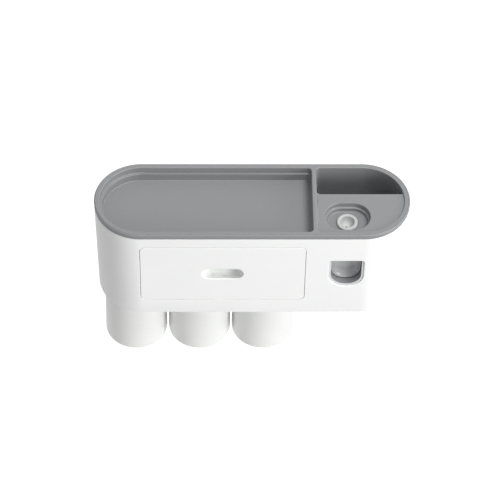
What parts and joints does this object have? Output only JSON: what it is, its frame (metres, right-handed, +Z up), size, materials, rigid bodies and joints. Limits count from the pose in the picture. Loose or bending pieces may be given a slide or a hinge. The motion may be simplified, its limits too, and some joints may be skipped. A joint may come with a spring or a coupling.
{
  "type": "wall-mounted toothbrush holder",
  "caption": "Long wall-mounted toothbrush holder with a lift-out grey tray, a pull-out drawer, a push-paddle toothpaste dispenser and upside-down cups on magnets.",
  "frame": {"origin": "on the flat back of the body, in the wall plane, at the middle of the length and at the height of the wall studs", "axes": "+X along the length to the viewer's right, +Y out of the back into the wall, +Z up"},
  "size_m": [0.32, 0.095, 0.2195],
  "materials": {
    "white_abs": "satin",
    "grey_abs": "fine satin",
    "cup_plastic": "satin",
    "silicone": "matte",
    "steel": "bright",
    "clear_plastic": "clear",
    "adhesive": "tacky"
  },
  "bodies": {
    "holder": {"body_shell": "white_abs", "bottom_cover": "white_abs", "cover_screw_1": "steel", "cover_screw_2": "steel", "cover_screw_3": "steel", "cover_screw_4": "steel", "seat_magnet_1": "steel", "seat_magnet_2": "steel", "seat_magnet_3": "steel", "magnet_cap_1": "white_abs", "magnet_cap_2": "white_abs", "magnet_cap_3": "white_abs", "adhesive_pad_1": "adhesive", "adhesive_pad_2": "adhesive", "wall_plate_1": "clear_plastic", "wall_plate_2": "clear_plastic", "dispenser_frame": "grey_abs", "frame_screw_1": "steel", "frame_screw_2": "steel", "tube_socket": "silicone", "outlet_valve": "silicone", "squeeze_bulb": "silicone", "paddle_pin": "steel", "return_spring": "steel"},
    "tray": {"top_tray": "grey_abs"},
    "drawer": {"drawer_front": "white_abs", "drawer_box": "white_abs", "drawer_screw_1": "steel", "drawer_screw_2": "steel"},
    "paddle": {"push_paddle": "grey_abs"},
    "first_cup": {"cup_1": "cup_plastic", "cup_disc_1": "steel", "cup_cap_1": "cup_plastic"},
    "second_cup": {"cup_2": "cup_plastic", "cup_disc_2": "steel", "cup_cap_2": "cup_plastic"},
    "third_cup": {"cup_3": "cup_plastic", "cup_disc_3": "steel", "cup_cap_3": "cup_plastic"}
  },
  "joints": [
    {"name": "drawer_slide", "type": "slide", "parent": "holder", "child": "drawer", "axis": [0, -1, 0], "range_m": [0, 0.078]},
    {"name": "paddle_push", "type": "hinge", "parent": "holder", "child": "paddle", "pos_m": [0.0963, -0.07592, 0.0246], "axis": [1, 0, 0], "range_deg": [0, 12], "stiffness_Nm_per_rad": 0.35, "springref_deg": -6.88, "deforming": ["return_spring", "squeeze_bulb"]},
    {"name": "tray_lift", "type": "slide", "parent": "holder", "child": "tray", "axis": [0, 0, 1], "range_m": [0, 0.1]},
    {"name": "first_cup_pull", "type": "slide", "parent": "holder", "child": "first_cup", "axis": [0, 0, -1], "range_m": [0, 0.05]},
    {"name": "second_cup_pull", "type": "slide", "parent": "holder", "child": "second_cup", "axis": [0, 0, -1], "range_m": [0, 0.05]},
    {"name": "third_cup_pull", "type": "slide", "parent": "holder", "child": "third_cup", "axis": [0, 0, -1], "range_m": [0, 0.05]}
  ]
}
